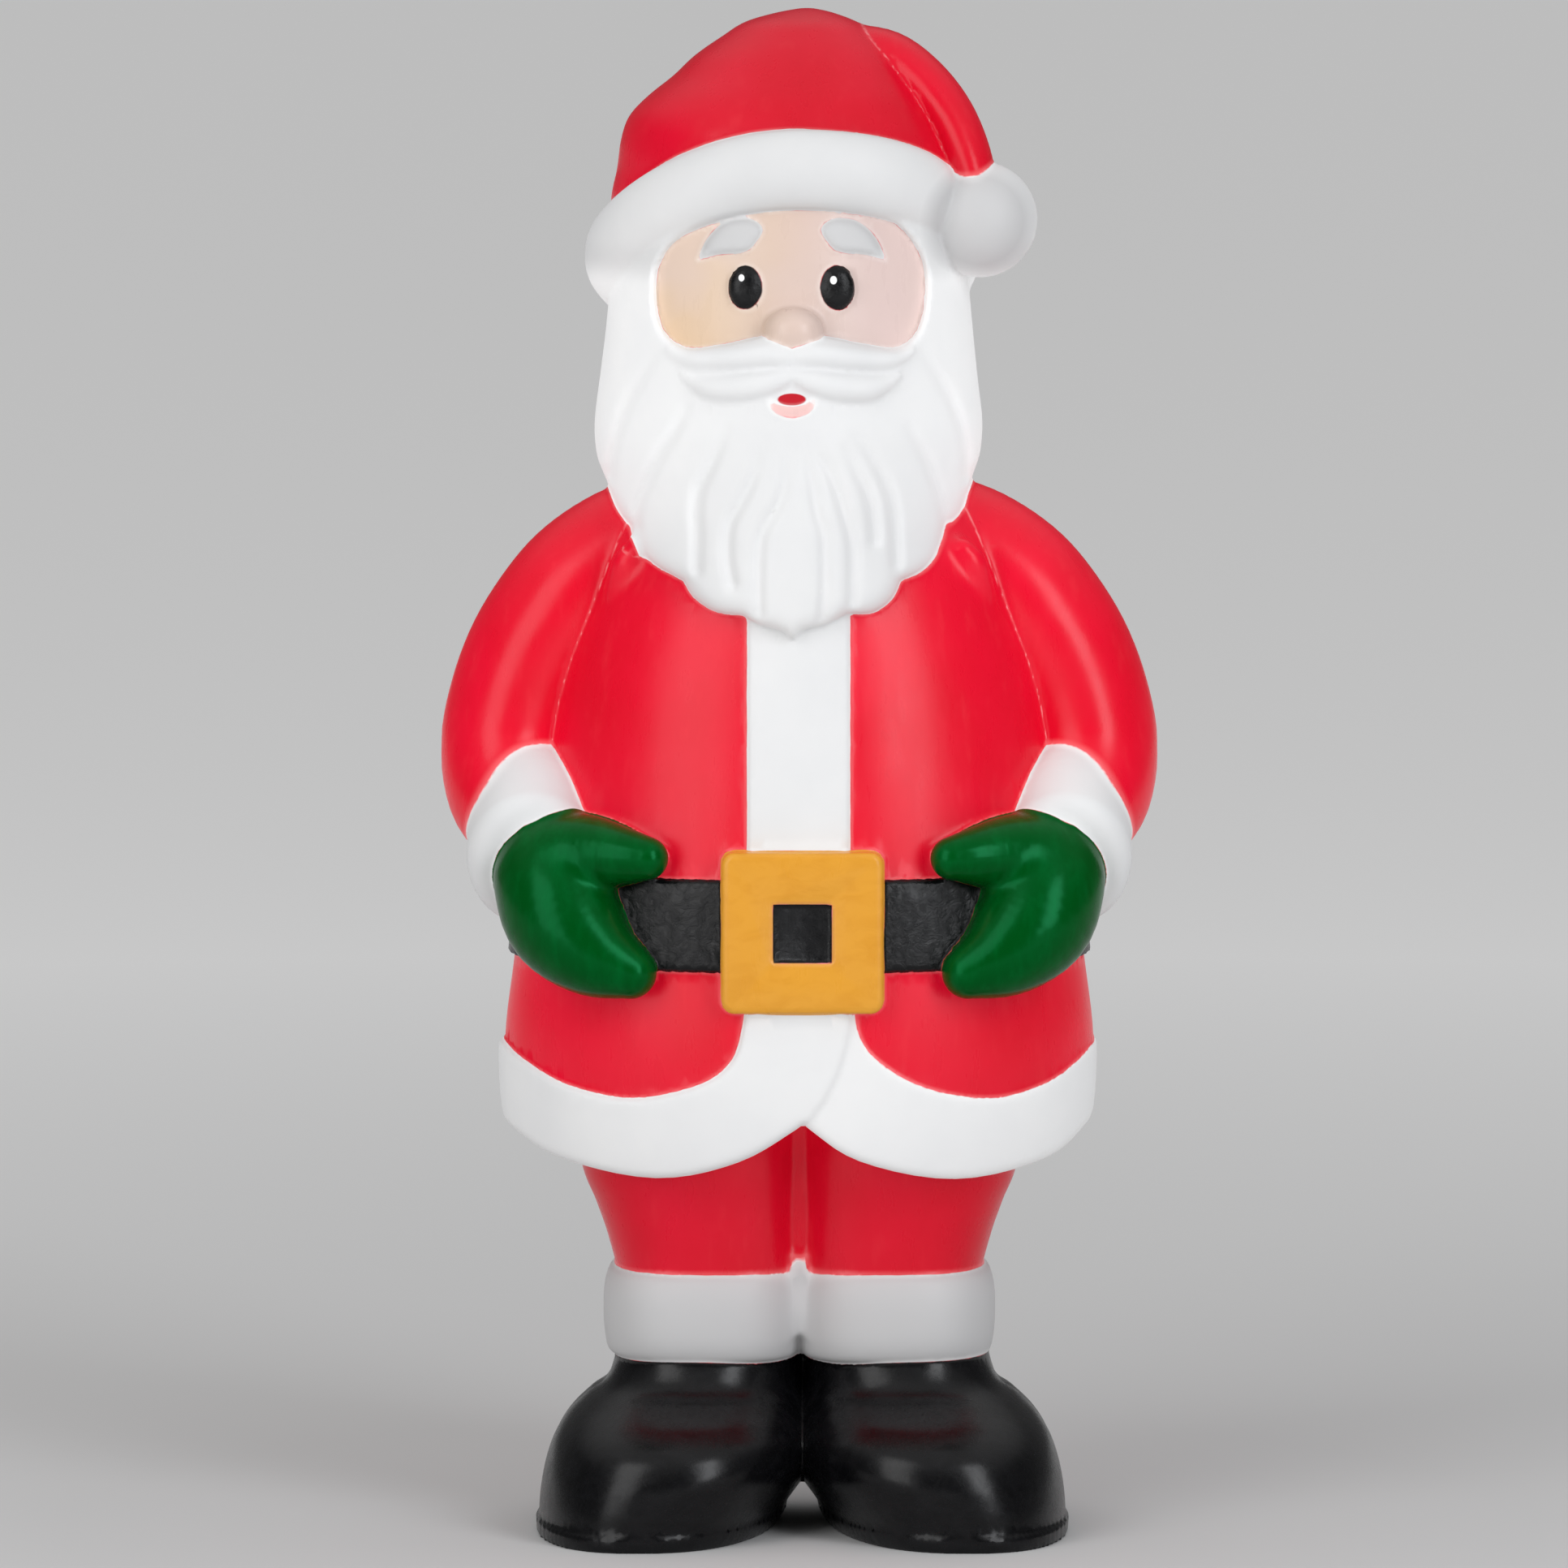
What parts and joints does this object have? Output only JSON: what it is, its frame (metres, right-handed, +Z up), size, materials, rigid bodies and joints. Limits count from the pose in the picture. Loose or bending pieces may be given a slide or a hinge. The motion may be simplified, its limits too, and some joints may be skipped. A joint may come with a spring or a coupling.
{
  "type": "lighted santa figure",
  "caption": "Blow-moulded standing santa figure, lit from inside, with hands on a buckled belt, fur-trimmed coat, round boots and a lamp cap in the back.",
  "frame": {"origin": "middle of the figure's box, on the floor under the soles", "axes": "+Z up through the hat, -Y the way the face looks, +X towards the figure's own left hand, where the pompom hangs"},
  "size_m": [0.2872, 0.1762, 0.61],
  "materials": {
    "painted_shell": "translucent white plastic painted red, green, black, gold and skin, semi-gloss, glowing softly",
    "cap_plastic": "plain white moulded plastic, satin"
  },
  "bodies": {
    "root": {"santa_shell": "painted_shell", "lamp_cap": "cap_plastic"}
  },
  "joints": []
}
